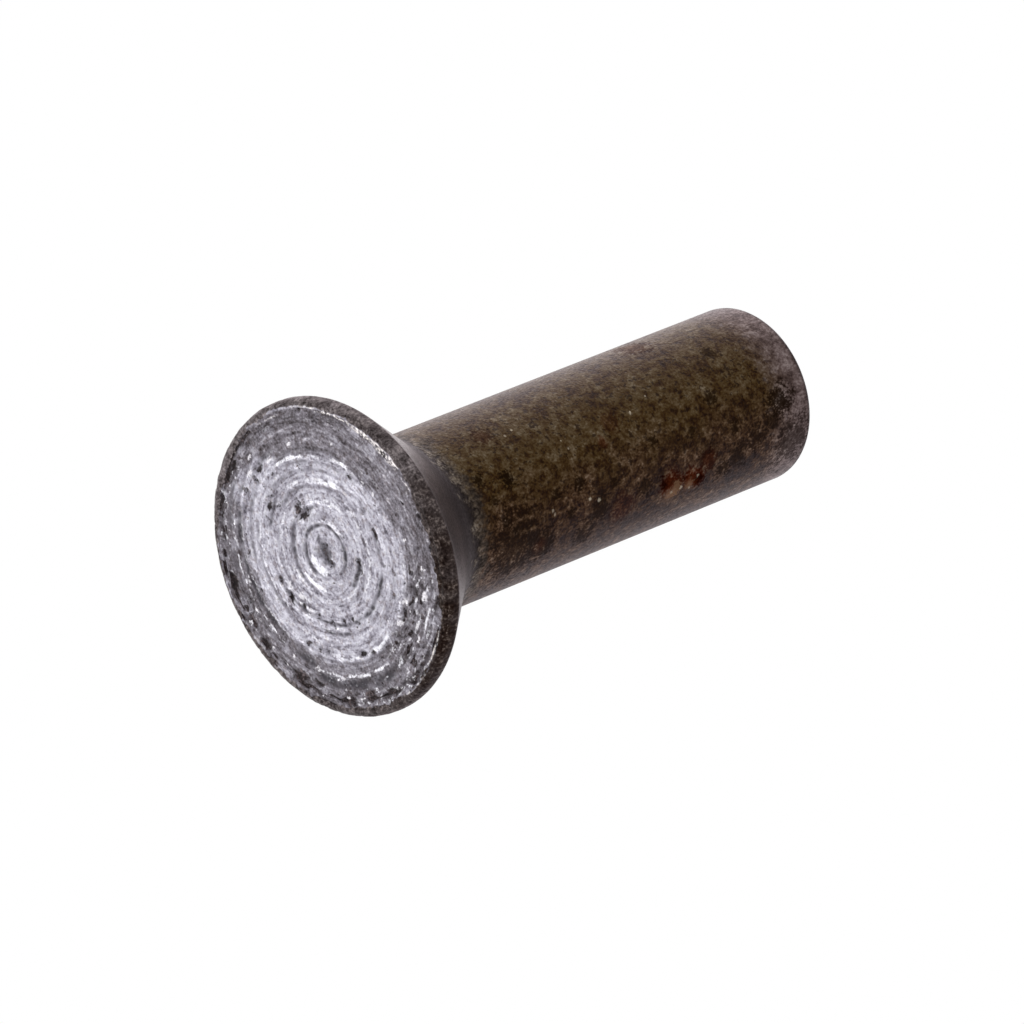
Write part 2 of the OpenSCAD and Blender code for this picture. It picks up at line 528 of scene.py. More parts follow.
# Place, length, width and direction of each flake that stands up; its shine is a painted highlight
FLAKES = [
    (2.45, 3.3, 0.3, 0.2, 20),
    (3.15, 2.5, 0.42, 0.22, 110),
    (3.72, 1.55, 0.46, 0.22, 110),
    (0.65, 4.2, 0.3, 0.16, 0),
    (-0.35, 3.95, 0.3, 0.14, 0),
    (0.95, 4.68, 0.26, 0.2, 0),
    (2.6, 3.75, 0.24, 0.16, 40),
    (4.0, 2.65, 0.3, 0.16, 120),
    (4.35, 1.6, 0.4, 0.14, 115),
    (1.95, 4.1, 0.22, 0.14, 60),
    (2.25, -3.58, 0.4, 0.32, 30),
    (1.38, -4.05, 0.26, 0.2, 0),
    (2.1, -2.55, 0.4, 0.22, 100),
    (2.75, -2.05, 0.36, 0.2, 110),
    (3.45, -2.6, 0.3, 0.2, 40),
    (3.0, -2.75, 0.3, 0.18, 40),
    (0.35, -3.75, 0.2, 0.16, 0),
    (-3.92, -0.3, 0.3, 0.14, 90),
    (-3.65, 0.9, 0.36, 0.22, 80),
    (-3.5, 2.0, 0.4, 0.2, 60),
    (-4.0, 1.7, 0.4, 0.16, 60),
    (-3.38, -2.2, 0.2, 0.12, 60),
    (-2.2, -3.05, 0.24, 0.14, 20),
    (-1.85, -2.85, 0.3, 0.16, 20),
    (-1.4, -3.15, 0.22, 0.16, 20),
    (0.9, 2.0, 0.3, 0.24, 30),
    (0.32, 2.14, 0.44, 0.2, 20),
    (0.7, 1.84, 0.34, 0.2, 35),
    (1.35, 1.75, 0.3, 0.2, 45),
    (2.48, -1.6, 0.26, 0.16, 60),
    (4.62, -0.9, 0.5, 0.14, 80),
    (4.5, -1.6, 0.4, 0.12, 70),
    (4.55, 0.95, 0.3, 0.12, 95),
]
print("flakes:", len(FLAKES))

# %% How deep each of them is at each point


def marks_at(marks, ragged):
    """The strongest of a list of marks at each point: 1 in the middle, 0 past the edge."""
    strongest = np.zeros(len(points))
    for x, y, length, width, direction, strength in marks:
        turn = math.radians(direction)
        east, north = points[:, 0] - x, points[:, 1] - y
        along = (east * math.cos(turn) + north * math.sin(turn)) / (length / 2)
        beside = (north * math.cos(turn) - east * math.sin(turn)) / (width / 2)
        away = np.hypot(along, beside) * ragged
        strongest = np.maximum(strongest, strength * (1 - ramp(away, 0.2, 1.5)))
    return strongest


ragged = 1 + 0.35 * roughness_at(flat, 0.17, 6) + 0.2 * roughness_at(flat, 0.08, 26)
pit = marks_at(PITS, ragged)
for (x, y), (next_x, next_y) in zip(CRACK, CRACK[1:]):
    run, rise = next_x - x, next_y - y
    east, north = points[:, 0] - x, points[:, 1] - y
    share = np.clip((east * run + north * rise) / (run**2 + rise**2), 0, 1)
    away = np.hypot(east - share * run, north - share * rise) * ragged
    pit = np.maximum(pit, 1 - ramp(away / CRACK_WIDTH, 0.2, 1.0))
groove = np.maximum(groove, marks_at([DIMPLE], ragged))
# Grains of dirt are pressed in all over
specks = ramp(roughness_at(flat, 0.1, 7), 0.55, 1.15) * ramp(roughness_at(flat, 0.8, 8), -0.5, 0.5)
pit = np.maximum(pit, 0.7 * specks) * on_face
flake = marks_at([(*place, 1.0) for place in FLAKES], ragged) * on_face
print("points in a pit:", int((pit > 0.3).sum()), "on a flake:", int((flake > 0.3).sum()))

# %% The outer band, which the punch hardly touched
# Angle, and the radius from the middle of the punch where the band starts there
BAND_EDGE = [
    (0, 3.75),
    (60, 3.75),
    (90, 3.6),
    (122, 3.75),
    (135, 4.2),
    (158, 4.0),
    (172, 3.2),
    (235, 3.25),
    (275, 3.45),
    (300, 3.62),
    (330, 3.45),
    (360, 3.75),
]
CHIPPED_FROM = 4.45

band_edge = np.interp(punch_angle, *zip(*BAND_EDGE))
band_edge += 0.16 * roughness_at(flat, 0.6, 9) + 0.12 * roughness_at(turns * (1, 1, 3), 0.3, 10)
band = ramp(punch_r - band_edge, -0.18, 0.18)
band *= 1 - 0.45 * ramp(roughness_at(flat, 0.5, 22), 0.1, 0.9)
chips = ramp(roughness_at(turns * (4.5, 4.5, 3.5), 0.5, 23), 0.0, 0.7)
chips *= ramp(from_axis, CHIPPED_FROM, CHIPPED_FROM + 0.3)
chips *= 0.35 + 0.65 * along_arc(head_angle, -75, 160, 15)
pit = np.maximum(pit, 0.9 * chips * on_face)
print("points in the outer band:", int((band * on_face > 0.5).sum()))

# %% Metal stands up round the pits there, and is torn into curls on one side
# First and last angle where the lips of the pits are lower, and by what share
LOWER_LIPS = [(150, 265, 0.6), (15, 110, 0.4)]
TORN_FIRST, TORN_LAST = 293, 346
TORN_ACROSS, TORN_ALONG = 0.13, 0.27
TEAR_ANGLE = math.radians(53)

lips = ramp(pit, 0.03, 0.2) * (1 - ramp(pit, 0.3, 0.6)) * ramp(from_axis, 3.8, 4.2)
lips *= ramp(roughness_at(flat, 0.12, 26), -0.3, 0.5)
for first, last, lowered in LOWER_LIPS:
    lips *= 1 - lowered * along_arc(head_angle, first, last)
# The lips join the crests: they stand up a little and take the crests' pale painted glint
crest = np.maximum(crest, 0.6 * lips)
along_tear = points[:, 0] * math.cos(TEAR_ANGLE) + points[:, 1] * math.sin(TEAR_ANGLE)
across_tear = points[:, 1] * math.cos(TEAR_ANGLE) - points[:, 0] * math.sin(TEAR_ANGLE)
tear_place = np.column_stack([along_tear / TORN_ALONG, across_tear / TORN_ACROSS, 0 * along_tear])
curls = roughness_at(tear_place, 1, 27)
torn = along_arc(punch_angle, TORN_FIRST, TORN_LAST, 8)
torn *= ramp(ring_place, 3.25, 3.5) * (1 - ramp(from_axis, 4.6, 4.8))
pit = np.maximum(pit, 0.75 * ramp(curls, 0.35, 0.8) * torn * on_face)
crest = np.maximum(crest, 0.5 * ramp(-curls, 0.3, 0.75) * torn * on_face)
print("torn points:", int((torn * on_face > 0.5).sum()))

# %% How far each point of the face is sunk
# How deep each mark goes and how high it stands, in mm
GROOVE_DEPTH, PIT_DEPTH, CREST_HEIGHT, FLAKE_HEIGHT = 0.035, 0.055, 0.010, 0.022
GRAIN_DEPTH, WAVE_DEPTH = 0.014, 0.008
BAND_DEPTH, BAND_GRAIN_DEPTH = 0.014, 0.008
# The whole face is let in this far, so that no crest or flake stands past the CAD face
LET_IN = 0.004
DEEPEST = 0.075

fine = 0.5 + 0.5 * roughness_at(flat, 0.13, 11)
broad = 0.5 + 0.5 * roughness_at(flat, 0.5, 12)
depth = GROOVE_DEPTH * groove + PIT_DEPTH * pit - CREST_HEIGHT * crest - FLAKE_HEIGHT * flake
depth += GRAIN_DEPTH * fine + WAVE_DEPTH * broad + band * (BAND_DEPTH + BAND_GRAIN_DEPTH * fine)
depth = np.clip((depth + LET_IN) * on_face, 0, DEEPEST)
print("deepest mark:", round(float(depth.max()), 3), "mm")

# %% The depths are painted on as weights and sunk in by a Displace modifier
WEIGHT_STEPS = 500


def paint(piece, name, weights):
    """A vertex group with one weight for each point, as weight painting gives."""
    group = piece.vertex_groups.new(name=name)
    steps = np.round(np.clip(weights, 0, 1) * WEIGHT_STEPS).astype(int)
    for step in np.unique(steps[steps > 0]):
        group.add(np.flatnonzero(steps == step).tolist(), float(step) / WEIGHT_STEPS, "REPLACE")


def displace(piece, group, direction, deepest):
    """Moves the points of a vertex group by its weights, up to deepest in mm, and applies it."""
    mover = piece.modifiers.new(group, "DISPLACE")
    mover.direction = direction
    mover.vertex_group = group
    mover.mid_level = 0
    mover.strength = deepest * MM
    bpy.context.view_layer.objects.active = piece
    bpy.ops.object.modifier_apply(modifier=group)
    piece.vertex_groups.remove(piece.vertex_groups[group])


paint(rivet, "punch_relief", depth / DEEPEST)
displace(rivet, "punch_relief", "Z", DEEPEST)
print("points moved:", int((depth > 0).sum()))

# %% [markdown]
# ## The scaled rim
#
# The rim never touched the punch or the die, so it bulged freely and kept its scale. It is lumpy,
# and its edge towards the face is nibbled. It is pushed in along its normals, never out.

# %% Rim relief
LUMP_DEPTH, CRUMB_DEPTH = 0.018, 0.022
RIM_DEEPEST = 0.05

on_rim = ~on_face * (1 - ramp(height, RIM_HEIGHT - 0.12, RIM_HEIGHT + 0.05))
swells = 0.5 + 0.5 * roughness_at(points, 0.45, 13)
crumbs = ramp(roughness_at(points, 0.14, 14), -0.2, 0.9)
rim_depth = on_rim * np.clip(LUMP_DEPTH * swells + CRUMB_DEPTH * crumbs, 0, RIM_DEEPEST)
paint(rivet, "rim_relief", rim_depth / RIM_DEEPEST)
displace(rivet, "rim_relief", "NORMAL", -RIM_DEEPEST)
print("deepest dent in the rim:", round(float(rim_depth.max()), 3), "mm")

# %% The edge where bare face and scaled rim meet
# First and last angle, and how far in the scale creeps there, in mm
CREEPING_SCALE = [
    (258, 304, 0.24),
    (120, 165, 0.1),
    (20, 75, 0.06),
    (312, 345, 0.06),
    (350, 380, 0.12),
]
# First and last angle of each length of edge that is painted with a highlight, its strength,
# radius and width
EDGE_HIGHLIGHTS = [
    (150, 186, 0.3, 4.93, 0.1),
    (186, 206, 0.55, 5.11, 0.12),
    (204, 224, 0.65, 5.03, 0.12),
    (222, 236, 0.85, 4.98, 0.17),
    (233, 248, 0.85, 4.97, 0.24),
    (250, 258, 0.5, 4.9, 0.14),
    (312, 330, 0.5, 4.97, 0.1),
    (328, 350, 0.5, 5.07, 0.1),
    (30, 75, 0.12, 4.85, 0.14),
    (75, 150, 0.12, 4.85, 0.14),
]
# Angle, and how grey the scale on the rim is painted there, from black to pale: partly the scale's
# own grey, partly painted light, paler towards the top softbox and painted shade at 264 to 320
# degrees
GREYED_AND_LIT_RIM = [
    (0, 0.35),
    (30, 0.6),
    (60, 0.5),
    (110, 0.55),
    (140, 0.9),
    (165, 0.9),
    (190, 0.7),
    (225, 0.65),
    (248, 0.6),
    (264, 0.2),
    (320, 0),
    (360, 0.35),
]

meeting_r = FLAT_R + 0.04 + 0.05 * roughness_at(flat, 0.35, 15)
meeting_r += 0.05 * roughness_at(flat, 0.12, 16)
for first, last, creep in CREEPING_SCALE:
    meeting_r -= creep * along_arc(head_angle, first, last, 14)
scaled = np.where(height < 0.4, ramp(from_axis - meeting_r, -0.05, 0.05), 1.0)
# Painted light and shade on the scale of the rim, along with its own grey
greyed_and_lit = np.interp(head_angle, *zip(*GREYED_AND_LIT_RIM))
greyed_and_lit += 0.15 * roughness_at(flat, 0.5, 24)
# The rounded edge of the face gets a painted highlight, and the scale is lifted off under it
rubbed = np.zeros(len(points))
for first, last, strength, lip_r, lip_width in EDGE_HIGHLIGHTS:
    across_lip = 1 - ramp(np.abs(from_axis + 0.4 * wander - lip_r) / lip_width, 0.2, 0.8)
    rubbed = np.maximum(rubbed, strength * across_lip * along_arc(head_angle, first, last, 5))
rubbed *= ramp(roughness_at(flat, 0.13, 17), -1.2, 0.0) * (height < 0.2)
print("rubbed points:", int((rubbed > 0.3).sum()))

# %% What the finish needs to know is kept as attributes
for name, values in (
    ("groove", groove * on_face),
    ("pit", pit),
    ("crest", crest * on_face),
    ("flake", 0.85 * flake),
    ("rubbed", rubbed),
    ("band", band * on_face),
    ("scaled", scaled * (1 - 0.95 * rubbed)),
    ("greyed_and_lit", greyed_and_lit),
):
    attribute = rivet.data.attributes.new(name, "FLOAT", "POINT")
    attribute.data.foreach_set("value", np.clip(values, 0, 1).astype(np.float32))
    print(name, "mean", round(float(np.mean(values)), 3))

# %% [markdown]
# ## Finishes
#
# The rivet is one piece of steel with three finishes. The face is bare where the punch squeezed it.
# The rest kept the dark scale of its heat treatment, polished by the die on the cone. The end is
# sheared. Colours are written as the hex values that a maker would read off a swatch.

# %% Colours and nodes
SMOOTH = {"interpolation_type": "SMOOTHSTEP"}
# A Mix node for colours takes its two colours in these inputs
FIRST, SECOND = 6, 7


def linear(hex_colour):
    """An sRGB hex colour as the linear red, green, blue and alpha that a shader takes."""
    channels = [int(hex_colour[i : i + 2], 16) / 255 for i in (1, 3, 5)]
    return [c / 12.92 if c <= 0.04045 else ((c + 0.055) / 1.055) ** 2.4 for c in channels] + [1]


def output_of(made):
    """The output that a node is used for: the first that its settings leave on."""
    return next(socket for socket in made.outputs if socket.enabled)


def node(tree, kind, inputs=None, stops=(), **settings):
    """Adds a node with its settings. An input takes a node, a socket, a value or a hex colour."""
    made = tree.nodes.new("ShaderNode" + kind)
    for name, value in settings.items():
        setattr(made, name, value)
    for name, value in (inputs or {}).items():
        if isinstance(value, bpy.types.Node):
            value = output_of(value)
        if isinstance(value, bpy.types.NodeSocket):
            tree.links.new(value, made.inputs[name])
        else:
            made.inputs[name].default_value = linear(value) if isinstance(value, str) else value
    if stops:
        elements = made.color_ramp.elements
        elements.remove(elements[1])
        elements[0].position = stops[0][0]
        for place_on_ramp, _ in stops[1:]:
            elements.new(place_on_ramp)
        for element, (_, hex_colour) in zip(elements, stops):
            element.color = linear(hex_colour)
    return made


def new_material(name):
    """A material on the rivet: its tree, its shader and the place on the object in mm."""
    material = bpy.data.materials.new(name)
    material.use_nodes = True
    tree = material.node_tree
    coordinates = node(tree, "TexCoord").outputs["Object"]
    place = node(tree, "VectorMath", {0: coordinates, "Scale": 1 / MM}, operation="SCALE")
    rivet.data.materials.append(material)
    return tree, tree.nodes["Principled BSDF"], place


def drive(tree, shader, sockets):
    """Links sockets of the shader, by name, to the nodes that drive them."""
    for name, driver in sockets.items():
        tree.links.new(output_of(driver), shader.inputs[name])
    print("nodes in the finish:", len(tree.nodes))


# %% [markdown]
# ### Bare punched steel
#
# Squeezed steel is a cool silver grey. Its crests are painted bright, as worn metal with painted
# glints on it, and its recesses are painted dark, as oxide held there with painted shade of the
# relief. The flakes that stand up and the rounded edge of the face carry painted highlights. The
# outer band, which the punch hardly touched, stays duller. Fine streaks follow the turned rings:
# noise is drawn out along them by counting the radius faster than the way round.

# %% Punched face: where its patterns lie
tree, shader, place = new_material("punched_steel")
# Sizes of the patterns in mm. Turning marks and grit are finer on such a rivet, and are drawn
# as coarse as they need to be to show
STREAK_LENGTH, STREAK_WIDTH = 0.45, 0.12
BAND_LENGTH, BAND_WIDTH = 3.0, 0.22
GRAIN, WARM_SPOT, PATCH = 0.09, 0.2, 0.5

from_punch = node(tree, "VectorMath", {0: place, 1: (PUNCH_OFFSET, 0, 0)})
across = node(tree, "VectorMath", {0: from_punch, 1: (1, 1, 0)}, operation="MULTIPLY")
ring_r = node(tree, "VectorMath", {0: across}, operation="LENGTH")
axes = node(tree, "SeparateXYZ", {0: across}).outputs
drawn_out = []
for length, width in ((STREAK_LENGTH, STREAK_WIDTH), (BAND_LENGTH, BAND_WIDTH)):
    pulled = node(tree, "Math", {0: ring_r, 1: length / width}, operation="MULTIPLY")
    drawn_out.append(node(tree, "CombineXYZ", {0: axes[0], 1: axes[1], 2: pulled}))
noises = []
# Where, size of a lump in mm, detail and seed
for where, grain, detail, seed in (
    (drawn_out[0], STREAK_LENGTH, 3, 0),
    (place, GRAIN, 3, 4),
    (place, PATCH, 2, 9),
    (place, WARM_SPOT, 2, 14),
    (drawn_out[1], BAND_LENGTH, 2, 6),
):
    moved = node(tree, "VectorMath", {0: where, 1: (seed, seed * 2, seed * 3)})
    settings = {"Vector": moved, "Scale": 1 / grain, "Detail": detail, "Roughness": 0.6}
    noises.append(node(tree, "TexNoise", settings))
streaks, grains, patches, warm_spots, bands = noises
attribute = {
    name: node(tree, "Attribute", attribute_name=name).outputs["Fac"]
    for name in ("groove", "pit", "crest", "flake", "rubbed", "band", "scaled", "greyed_and_lit")
}
print("face patterns:", len(noises), "attributes:", len(attribute))

# %% Punched face: bare metal
# Each stop is a value of the pattern and the colour there
SILVER = [
    (0.33, "#524e56"),
    (0.42, "#87838d"),
    (0.49, "#a6a3ae"),
    (0.56, "#c3c1cc"),
    (0.66, "#f4f3fa"),
]
DULL = [
    (0.33, "#302b2e"),
    (0.42, "#565155"),
    (0.50, "#706b72"),
    (0.58, "#8b878f"),
    (0.68, "#c6c3cb"),
]

tone = 0.0
for value, weight in ((streaks, 0.42), (grains, 0.4), (patches, 0.2), (bands, 0.25), (0.5, -0.27)):
    tone = node(tree, "Math", {0: value, 1: weight, 2: tone}, operation="MULTIPLY_ADD")
silver = node(tree, "ValToRGB", {0: tone}, stops=SILVER)
dull = node(tree, "ValToRGB", {0: tone}, stops=DULL)
colour = node(tree, "Mix", {0: attribute["band"], FIRST: silver, SECOND: dull}, data_type="RGBA")
warmed = node(tree, "MapRange", {0: warm_spots, 1: 0.52, 2: 0.66, 4: 0.5}, **SMOOTH)
warmth = {0: warmed, FIRST: colour, SECOND: "#b8aaa2"}
colour = node(tree, "Mix", warmth, data_type="RGBA", blend_type="MULTIPLY")
print("nodes so far:", len(tree.nodes))

# %% Punched face: what the marks hold
DIRT = [(0.39, "#080303"), (0.47, "#150d0d"), (0.55, "#281f1f"), (0.64, "#615657")]

frayed = 0.0
for value, weight in ((grains, 0.6), (streaks, 0.7), (0.5, -1.3)):
    frayed = node(tree, "Math", {0: value, 1: weight, 2: frayed}, operation="MULTIPLY_ADD")
caked = 0.0
for value, weight in ((grains, 0.6), (patches, 0.4)):
    caked = node(tree, "Math", {0: value, 1: weight, 2: caked}, operation="MULTIPLY_ADD")
dirt = node(tree, "ValToRGB", {0: caked}, stops=DIRT)
# Attribute, how much its edge frays, where it starts and is full, its strength and its colour
for name, fray, start, full, strength, shade in (
    # Pressed rings: oxide held in the recesses, and painted shade of their relief
    ("groove", 1.8, 0.1, 1.0, 0.97, "#3b383d"),
    # Crests, the lips round pits and the torn curls: worn metal, painted nearly white as glints
    ("crest", 2.2, 0.15, 0.85, 0.97, "#ecebf2"),
    ("pit", 2.9, 0.27, 0.85, 0.97, dirt),
    # Flakes: a pale colour painted on as their highlight
    ("flake", 8.0, 0.4, 1.0, 0.85, "#dedbe0"),
    # The rounded edge of the face: a painted highlight
    ("rubbed", 6.0, 0.2, 1.0, 0.9, "#ece5e3"),
):
    if name in ("flake", "rubbed"):
        # These fray only inside their own mark, so that their painted highlight spreads no further
        fray = node(tree, "Math", {0: attribute[name], 1: fray}, operation="MULTIPLY")
    edge = node(tree, "Math", {0: frayed, 1: fray, 2: attribute[name]}, operation="MULTIPLY_ADD")
    share = node(tree, "MapRange", {0: edge, 1: start, 2: full, 4: strength}, **SMOOTH)
    colour = node(tree, "Mix", {0: share, FIRST: colour, SECOND: shade}, data_type="RGBA")
print("nodes so far:", len(tree.nodes))

# %% Punched face: scale over its edge
CRUST_DARK = [(0.34, "#0d0605"), (0.45, "#1f1410"), (0.54, "#2f2520"), (0.66, "#6c605a")]
CRUST_PALE = [(0.37, "#403a3a"), (0.45, "#5f5859"), (0.54, "#7b7375"), (0.66, "#9f9799")]
# The height in mm that the bump stands for
GRAIN_BUMP = 0.015

greyed_and_lit = attribute["greyed_and_lit"]
lumps = 0.0
for value, weight in ((grains, 0.55), (warm_spots, 0.45)):
    lumps = node(tree, "Math", {0: value, 1: weight, 2: lumps}, operation="MULTIPLY_ADD")
black_crust = node(tree, "ValToRGB", {0: lumps}, stops=CRUST_DARK)
pale_crust = node(tree, "ValToRGB", {0: lumps}, stops=CRUST_PALE)
# The crust is painted paler towards the top softbox and darker on the far side
crust = node(tree, "Mix", {0: greyed_and_lit, FIRST: black_crust, SECOND: pale_crust}, data_type="RGBA")
edge = node(tree, "Math", {0: attribute["scaled"], 1: frayed})
share = node(tree, "MapRange", {0: edge, 1: 0.3, 2: 0.7}, **SMOOTH)
colour = node(tree, "Mix", {0: share, FIRST: colour, SECOND: crust}, data_type="RGBA")
matt = node(tree, "MapRange", {0: tone, 1: 0.35, 2: 0.65, 3: 0.5, 4: 0.3}, **SMOOTH)
crusted = {0: attribute["scaled"], 1: 0.15, 2: matt}
roughness = node(tree, "Math", crusted, operation="MULTIPLY_ADD")
relief = node(tree, "Bump", {"Height": tone, "Distance": GRAIN_BUMP * MM})
shader.inputs["Metallic"].default_value = 1.0
drive(tree, shader, {"Base Color": colour, "Roughness": roughness, "Normal": relief})

# %% [markdown]
# ### Scale on the shank and rim
#
# Heat treatment leaves a thin skin of iron oxide. It is olive brown to black, mottled and a little
# metallic, with rust where it broke. On the cone the die pressed it smooth and grey. The larger
# stains are placed one by one, and each has an edge frayed by the same noise.

# %% Scaled body: olive skin, and a redder skin painted darker as shade on one side
tree, shader, place = new_material("heat_scaled_steel")
SKIN = [
    (0.30, "#160800"),
    (0.40, "#2a1805"),
    (0.47, "#3a290f"),
    (0.54, "#453620"),
    (0.62, "#524532"),
    (0.74, "#6e6353"),
]
REDDER_SHADED_SKIN = [
    (0.32, "#080000"),
    (0.41, "#150300"),
    (0.47, "#241205"),
    (0.53, "#372312"),
    (0.61, "#4f3b2b"),
    (0.74, "#7a6758"),
]

# Sizes of the patterns in mm. Grit in the scale is finer, and is drawn as coarse as it has to be
MOTTLE, SPECKLE, CLOUD, SPOT = 0.3, 0.08, 1.6, 0.17

axes = node(tree, "SeparateXYZ", {0: place}).outputs
height_mm = axes[2]
drawn = node(tree, "VectorMath", {0: place, 1: (1, 1, 0.8)}, operation="MULTIPLY")
noises = []
for where, grain, detail, seed in (
    (drawn, MOTTLE, 3, 2),
    (drawn, SPECKLE, 3, 5),
    (place, CLOUD, 2, 7),
    (drawn, SPOT, 2, 11),
):
    moved = node(tree, "VectorMath", {0: where, 1: (seed, seed * 2, seed * 3)})
    settings = {"Vector": moved, "Scale": 1 / grain, "Detail": detail, "Roughness": 0.6}
    noises.append(node(tree, "TexNoise", settings))
mottle, speckle, clouds, spots = noises
tone = 0.0
for value, weight in ((mottle, 0.6), (speckle, 0.45), (clouds, 0.35), (0.5, -0.4)):
    tone = node(tree, "Math", {0: value, 1: weight, 2: tone}, operation="MULTIPLY_ADD")
olive = node(tree, "ValToRGB", {0: tone}, stops=SKIN)
shaded_red_brown = node(tree, "ValToRGB", {0: tone}, stops=REDDER_SHADED_SKIN)
# One side of the shank, towards +X and away from the top softbox, is painted redder and darker:
# the darkening is painted shade. Clouds break up the change from one to the other
towards_side = node(tree, "Math", {0: clouds, 1: 3, 2: axes[0]}, operation="MULTIPLY_ADD")
redder_and_shaded = node(tree, "MapRange", {0: towards_side, 1: 0.6, 2: 3.4}, **SMOOTH)
colour = node(tree, "Mix", {0: redder_and_shaded, FIRST: olive, SECOND: shaded_red_brown}, data_type="RGBA")
dark_spots = node(tree, "MapRange", {0: spots, 1: 0.56, 2: 0.65, 4: 0.75}, **SMOOTH)
colour = node(tree, "Mix", {0: dark_spots, FIRST: colour, SECOND: "#150700"}, data_type="RGBA")
print("nodes so far:", len(tree.nodes))

# %% Scaled body: the greyer end, with painted shade along its rounded corner
END_SKIN = [(0.32, "#281c1b"), (0.44, "#463937"), (0.54, "#5f5150"), (0.68, "#857877")]

end_wave = height_mm
for value in (clouds, mottle):
    end_wave = node(tree, "Math", {0: end_wave, 1: value})
near_end = {0: end_wave, 1: LENGTH - 1.4, 2: LENGTH + 0.5, 4: 0.9}
end_share = node(tree, "MapRange", near_end, **SMOOTH)
greyer = node(tree, "ValToRGB", {0: tone}, stops=END_SKIN)
colour = node(tree, "Mix", {0: end_share, FIRST: colour, SECOND: greyer}, data_type="RGBA")
# Painted shade: a dark band along the rounded corner of the end, where it turns away
near_corner = {0: height_mm, 1: LENGTH - 0.36, 2: LENGTH - 0.16, 4: 0.75}
corner = node(tree, "MapRange", near_corner, **SMOOTH)
colour = node(tree, "Mix", {0: corner, FIRST: colour, SECOND: "#1f1a1a"}, data_type="RGBA")
print("nodes so far:", len(tree.nodes))

# %% Scaled body: where the dark blotches are
# Angle from the front in degrees, height, size in mm, and strength
BLOTCHES = [
    (-5, 5.81, 0.3, 0.9),
    (13.8, 8.71, 0.26, 0.7),
    (-6, 15.52, 0.3, 0.7),
    (6.5, 12.4, 0.2, 0.7),
    (12.2, 18.45, 0.6, 0.8),
    (23, 17.9, 0.4, 0.5),
    (-11, 4.63, 0.22, 0.8),
    (-34.5, 16.7, 0.3, 0.5),
    (20, 5.2, 0.22, 0.7),
    (28, 5.6, 0.2, 0.7),
    (15, 7.6, 0.2, 0.6),
    (22, 10.3, 0.2, 0.6),
    (5, 4.9, 0.2, 0.6),
    (30, 8.2, 0.2, 0.6),
    (10, 14.2, 0.2, 0.6),
    (18, 16.2, 0.25, 0.6),
    (38, 5.6, 1.3, 0.5),
    (44.5, 6.9, 0.65, 0.6),
    (31.5, 14.84, 0.45, 0.7),
    (36, 16.3, 0.5, 0.5),
    (42, 15.6, 0.4, 0.6),
    (35, 9.6, 0.45, 0.5),
    (48, 9.0, 0.5, 0.5),
    (33, 11.7, 0.35, 0.5),
    (30, 17.2, 0.5, 0.5),
    (-38, 6.0, 0.4, 0.4),
    (42, 18.9, 0.9, 0.5),
]
print("blotches:", len(BLOTCHES))

# %% Scaled body: where rust, crumbs of crust and pale flecks are
# Angle from the front in degrees, height, size in mm, and strength
RUST = [
    (38.3, 12.95, 0.5, 1.0),
    (39.5, 13.35, 0.34, 1.0),
    (39.3, 13.95, 0.42, 1.0),
    (41.3, 14.33, 0.36, 1.0),
    (31.5, 14.85, 0.4, 0.5),
    (41.5, 10.68, 0.6, 0.35),
    (-5.2, 10.28, 0.22, 0.45),
    (-14.8, 10.96, 0.45, 0.22),
    (-38, 6.0, 0.4, 0.25),
    (44.5, 6.8, 0.35, 0.25),
    (-67, 14.8, 0.7, 0.4),
]
CRUST = [
    (42.8, 13.3, 0.24, 0.8),
    (45.6, 13.0, 0.24, 0.7),
    (44.0, 13.95, 0.2, 0.7),
]
PALE_FLECKS = [
    (44.5, 13.1, 0.07, 0.45),
    (46.8, 14.0, 0.06, 0.35),
    (43.8, 13.56, 0.07, 0.6),
    (39.8, 14.34, 0.06, 0.5),
    (-15.2, 11.99, 0.075, 0.9),
    (-22, 13.0, 0.04, 0.5),
    (-34.5, 7.21, 0.045, 0.7),
    (-32, 6.8, 0.045, 0.4),
    (-15, 8.68, 0.035, 0.5),
    (-9, 8.79, 0.05, 0.4),
    (26.3, 9.1, 0.075, 0.6),
    (29.2, 9.52, 0.065, 0.55),
    (24.2, 7.35, 0.06, 0.35),
    (27.2, 7.43, 0.07, 0.4),
]
print("rust, crust and flecks:", len(RUST), len(CRUST), len(PALE_FLECKS))

# %% Scaled body: the stains laid on
RUST_SHADES = [(0.36, "#200904"), (0.46, "#381408"), (0.54, "#4c2110"), (0.64, "#6f4a36")]

rust = node(tree, "ValToRGB", {0: tone}, stops=RUST_SHADES)
frayed = 0.0
for value, weight in ((mottle, 0.8), (speckle, 1.2), (0.5, -2.0)):
    frayed = node(tree, "Math", {0: value, 1: weight, 2: frayed}, operation="MULTIPLY_ADD")
earthy = 0.0
for stains, shade, fray in (
    (BLOTCHES, "#1d1209", 2.4),
    (RUST, rust, 2.0),
    (CRUST, "#7a5c46", 3.0),
    (PALE_FLECKS, "#b7ab98", 2.2),
):
    for angle, stain_height, size, strength in stains:
        turn = math.radians(angle)
        centre = (SHANK_R * math.sin(turn), -SHANK_R * math.cos(turn), stain_height)
        away = node(tree, "VectorMath", {0: place, 1: centre}, operation="DISTANCE")
        away = node(tree, "Math", {0: away, 1: 1 / size}, operation="MULTIPLY")
        edge = node(tree, "Math", {0: frayed, 1: fray, 2: away}, operation="MULTIPLY_ADD")
        share = node(tree, "MapRange", {0: edge, 1: 0.5, 2: 1.2, 3: strength, 4: 0}, **SMOOTH)
        colour = node(tree, "Mix", {0: share, FIRST: colour, SECOND: shade}, data_type="RGBA")
        if stains in (BLOTCHES, RUST):
            earthy = node(tree, "Math", {0: earthy, 1: share}, operation="MAXIMUM")
print("nodes so far:", len(tree.nodes))

